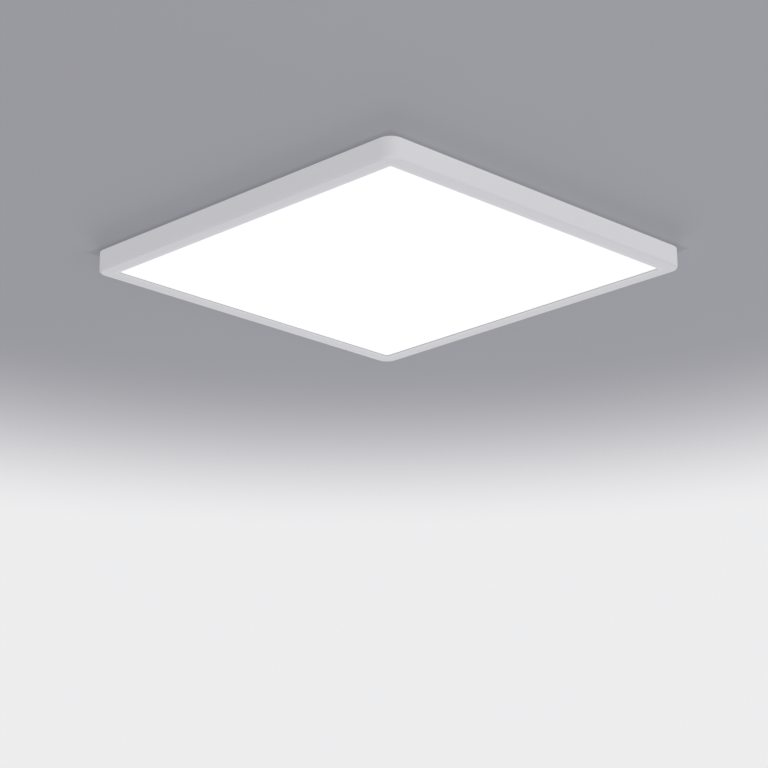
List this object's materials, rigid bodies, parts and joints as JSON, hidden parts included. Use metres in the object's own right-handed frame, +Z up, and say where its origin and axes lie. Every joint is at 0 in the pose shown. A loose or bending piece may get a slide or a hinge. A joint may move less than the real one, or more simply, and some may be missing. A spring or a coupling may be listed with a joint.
{
  "type": "flush mount ceiling light",
  "caption": "Thin square edge-lit ceiling panel with a rounded plain frame, opal lit square, hook-on ceiling bracket, driver box and hinged terminal box.",
  "frame": {"origin": "on the ceiling plane, at the middle of the bracket's upper face and of the cable hole", "axes": "+Z up into the ceiling, X and Y along the sides of the square panel; the lamp hooks on along X"},
  "size_m": [0.5, 0.5, 0.026],
  "materials": {
    "frame_moulding": "fine matte moulding, off-white",
    "opal_sheet": "opal, evenly lit from behind",
    "clear_sheet": "clear polished plate with a printed dot pattern",
    "white_film": "thin white film",
    "foam": "soft closed-cell foam",
    "coated_steel": "white coated sheet, satin",
    "zinc_steel": "zinc plated, satin",
    "board_white": "white solder mask",
    "phosphor_chip": "yellow phosphor in a white cup",
    "lead_red": "smooth insulation",
    "lead_black": "smooth insulation",
    "lead_brown": "smooth insulation",
    "lead_blue": "smooth insulation",
    "lead_green_yellow": "green insulation with a yellow stripe",
    "jumper_white": "smooth insulation",
    "grommet_rubber": "matte",
    "case_white": "fine matte moulding",
    "board_green": "green solder mask",
    "fuse_ceramic": "fired tube with metal caps",
    "varistor_blue": "dipped resin",
    "capacitor_yellow": "moulded box",
    "ferrite": "dark sintered",
    "copper_winding": "enamelled wire, turns side by side",
    "device_black": "moulded body",
    "winding_tape": "yellow tape over the winding",
    "can_sleeve": "black sleeve on an aluminium can",
    "block_grey": "moulded, pale grey",
    "tin_copper": "tinned",
    "spring_steel": "bright rolled",
    "button_white": "smooth moulding",
    "button_blue": "smooth moulding",
    "button_green": "smooth moulding",
    "earth_brass": "turned brass",
    "bushing_plastic": "black moulding"
  },
  "bodies": {
    "ceiling_mount": {"ceiling_bracket": "zinc_steel", "cable_bushing": "bushing_plastic"},
    "lamp": {"frame": "frame_moulding", "diffuser": "opal_sheet", "light_guide": "clear_sheet", "reflector_sheet": "white_film", "foam_sheet": "foam", "chassis": "coated_steel", "led_board_left": "board_white", "led_board_right": "board_white", "led_board_front": "board_white", "led_board_rear": "board_white", "led_chips_left": "phosphor_chip", "led_chips_right": "phosphor_chip", "led_chips_front": "phosphor_chip", "led_chips_rear": "phosphor_chip", "strip_jumpers": "jumper_white", "lead_grommet": "grommet_rubber", "chassis_screws": "zinc_steel", "hanger_front": "zinc_steel", "hanger_rear": "zinc_steel", "hanger_rivets": "zinc_steel", "driver_base": "case_white", "driver_cover": "case_white", "driver_board": "board_green", "driver_board_screws": "zinc_steel", "driver_fuse": "fuse_ceramic", "driver_varistor": "varistor_blue", "driver_film_capacitor": "capacitor_yellow", "driver_choke_core": "ferrite", "driver_choke_windings": "copper_winding", "driver_semiconductors": "device_black", "transformer_core": "ferrite", "transformer_winding": "winding_tape", "electrolytic_capacitors": "can_sleeve", "driver_screws": "zinc_steel", "terminal_base": "case_white", "terminal_hinge_pin": "zinc_steel", "terminal_block": "block_grey", "terminal_contacts": "tin_copper", "live_clamp_spring": "spring_steel", "neutral_clamp_spring": "spring_steel", "earth_clamp_spring": "spring_steel", "cord_clamp": "case_white", "cord_clamp_screws": "zinc_steel", "terminal_screws": "zinc_steel", "earth_screw": "earth_brass", "earth_washer": "zinc_steel", "earth_lug": "tin_copper", "live_lead": "lead_brown", "neutral_lead": "lead_blue", "earth_lead": "lead_green_yellow", "positive_lead": "lead_red", "negative_lead": "lead_black", "lead_clips": "bushing_plastic"},
    "terminal_cover": {"terminal_cover": "case_white"},
    "live_button": {"live_button": "button_white"},
    "neutral_button": {"neutral_button": "button_blue"},
    "earth_button": {"earth_button": "button_green"}
  },
  "joints": [
    {"name": "lamp_slide", "type": "slide", "parent": "ceiling_mount", "child": "lamp", "axis": [1, 0, 0], "range_m": [0, 0.0135]},
    {"name": "terminal_cover_hinge", "type": "hinge", "parent": "lamp", "child": "terminal_cover", "pos_m": [-0.1145, -0.07, -0.005], "axis": [0, -1, 0], "range_deg": [0, 105]},
    {"name": "live_button_press", "type": "slide", "parent": "lamp", "child": "live_button", "axis": [0, 0, -1], "range_m": [0, 0.0015], "stiffness_N_per_m": 1000, "springref_m": -0.004, "deforming": ["live_clamp_spring"]},
    {"name": "neutral_button_press", "type": "slide", "parent": "lamp", "child": "neutral_button", "axis": [0, 0, -1], "range_m": [0, 0.0015], "stiffness_N_per_m": 1000, "springref_m": -0.004, "deforming": ["neutral_clamp_spring"]},
    {"name": "earth_button_press", "type": "slide", "parent": "lamp", "child": "earth_button", "axis": [0, 0, -1], "range_m": [0, 0.0015], "stiffness_N_per_m": 1000, "springref_m": -0.004, "deforming": ["earth_clamp_spring"]}
  ]
}
